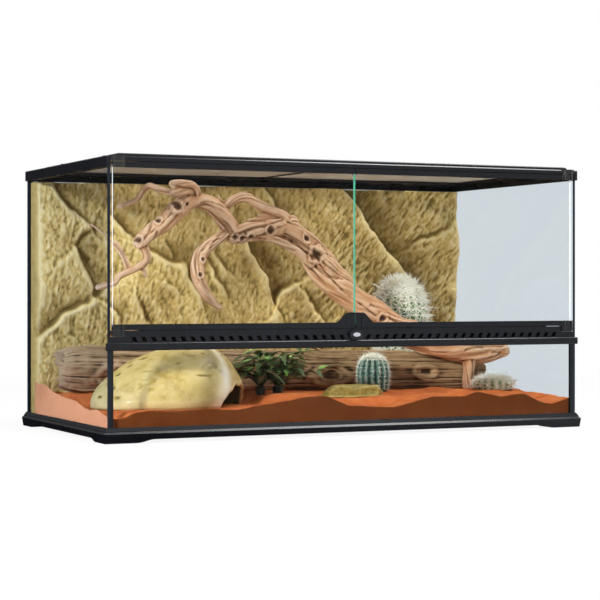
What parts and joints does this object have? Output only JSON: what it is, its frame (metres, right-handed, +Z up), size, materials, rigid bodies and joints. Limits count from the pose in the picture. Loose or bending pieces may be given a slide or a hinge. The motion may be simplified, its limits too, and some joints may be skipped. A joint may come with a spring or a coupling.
{
  "type": "reptile terrarium",
  "caption": "Front-opening glass terrarium with twin hinged doors, turn lock, screened lift-off lid, cable inlets and a desert fit-out.",
  "frame": {"origin": "centre of the footprint, on the surface that the feet stand on", "axes": "+X to the right seen from the doors, +Y to the rear, +Z up"},
  "size_m": [0.916, 0.466, 0.4746],
  "materials": {
    "frame_plastic": "black moulded ABS, satin",
    "hinge_plastic": "black moulded plastic, polished",
    "clear_glass": "clear float glass, ground edges",
    "door_glass": "clear float glass, polished green edges",
    "silicone": "black silicone sealant",
    "steel": "plain steel",
    "badge": "plain bright inset, no mark",
    "screen": "woven screen, weathered bronze-grey",
    "rock_foam": "moulded foam rock, painted",
    "sand": "dry red desert sand",
    "weathered_wood": "grey weathered log",
    "driftwood": "sand-blasted driftwood",
    "hide_resin": "cast resin rock, painted",
    "stone": "cast resin stone, painted",
    "cactus": "soft moulded plastic cactus",
    "leaf": "plant of cloth and soft plastic leaves"
  },
  "bodies": {
    "tank": {"bottom_frame": "frame_plastic", "floor_glass": "clear_glass", "left_glass": "clear_glass", "right_glass": "clear_glass", "rear_glass": "clear_glass", "front_lower_glass": "clear_glass", "silicone_seams": "silicone", "front_sill": "frame_plastic", "vent_strip": "frame_plastic", "top_frame": "frame_plastic", "left_hinge_bearings": "hinge_plastic", "right_hinge_bearings": "hinge_plastic", "lock_collar": "hinge_plastic", "background": "rock_foam", "substrate": "sand", "log": "weathered_wood", "branch": "driftwood", "hide": "hide_resin", "basking_stone": "stone", "small_cactus": "cactus", "large_cactus": "cactus", "low_cactus": "cactus", "plant": "leaf"},
    "left_door": {"left_door_glass": "door_glass", "left_door_top_rail": "frame_plastic", "left_door_bottom_rail": "frame_plastic", "left_door_hinge_blocks": "hinge_plastic", "left_door_pins": "steel"},
    "right_door": {"right_door_glass": "door_glass", "right_door_top_rail": "frame_plastic", "right_door_bottom_rail": "frame_plastic", "right_door_hinge_blocks": "hinge_plastic", "right_door_pins": "steel"},
    "lock": {"lock_knob": "hinge_plastic", "lock_badge": "badge", "lock_cam": "steel", "lock_screw": "steel"},
    "lid": {"lid_frame": "frame_plastic", "lid_mesh_left": "screen", "lid_mesh_right": "screen"},
    "lid_clip_front_left": {"lid_clip_front_left": "frame_plastic"},
    "lid_clip_front_right": {"lid_clip_front_right": "frame_plastic"},
    "lid_clip_rear_left": {"lid_clip_rear_left": "frame_plastic"},
    "lid_clip_rear_right": {"lid_clip_rear_right": "frame_plastic"},
    "inlet_shutter_outer_left": {"inlet_shutter_outer_left": "frame_plastic"},
    "inlet_shutter_inner_left": {"inlet_shutter_inner_left": "frame_plastic"},
    "inlet_shutter_inner_right": {"inlet_shutter_inner_right": "frame_plastic"},
    "inlet_shutter_outer_right": {"inlet_shutter_outer_right": "frame_plastic"}
  },
  "joints": [
    {"name": "left_door_hinge", "type": "hinge", "parent": "tank", "child": "left_door", "pos_m": [-0.433, -0.2225, 0.32], "axis": [0, 0, -1], "range_deg": [0, 120]},
    {"name": "right_door_hinge", "type": "hinge", "parent": "tank", "child": "right_door", "pos_m": [0.433, -0.2225, 0.32], "axis": [0, 0, 1], "range_deg": [0, 120]},
    {"name": "lock_turn", "type": "hinge", "parent": "tank", "child": "lock", "pos_m": [0, -0.2265, 0.173], "axis": [0, -1, 0], "range_deg": [0, 90]},
    {"name": "lid_lift", "type": "slide", "parent": "tank", "child": "lid", "axis": [0, 0, 1], "range_m": [0, 0.08]},
    {"name": "lid_clip_front_left_slide", "type": "slide", "parent": "lid", "child": "lid_clip_front_left", "axis": [-1, 0, 0], "range_m": [0, 0.004]},
    {"name": "lid_clip_front_right_slide", "type": "slide", "parent": "lid", "child": "lid_clip_front_right", "axis": [1, 0, 0], "range_m": [0, 0.004]},
    {"name": "lid_clip_rear_left_slide", "type": "slide", "parent": "lid", "child": "lid_clip_rear_left", "axis": [-1, 0, 0], "range_m": [0, 0.004]},
    {"name": "lid_clip_rear_right_slide", "type": "slide", "parent": "lid", "child": "lid_clip_rear_right", "axis": [1, 0, 0], "range_m": [0, 0.004]},
    {"name": "inlet_shutter_outer_left_slide", "type": "slide", "parent": "tank", "child": "inlet_shutter_outer_left", "axis": [-1, 0, 0], "range_m": [0, 0.027]},
    {"name": "inlet_shutter_inner_left_slide", "type": "slide", "parent": "tank", "child": "inlet_shutter_inner_left", "axis": [-1, 0, 0], "range_m": [0, 0.027]},
    {"name": "inlet_shutter_inner_right_slide", "type": "slide", "parent": "tank", "child": "inlet_shutter_inner_right", "axis": [1, 0, 0], "range_m": [0, 0.027]},
    {"name": "inlet_shutter_outer_right_slide", "type": "slide", "parent": "tank", "child": "inlet_shutter_outer_right", "axis": [1, 0, 0], "range_m": [0, 0.027]}
  ]
}
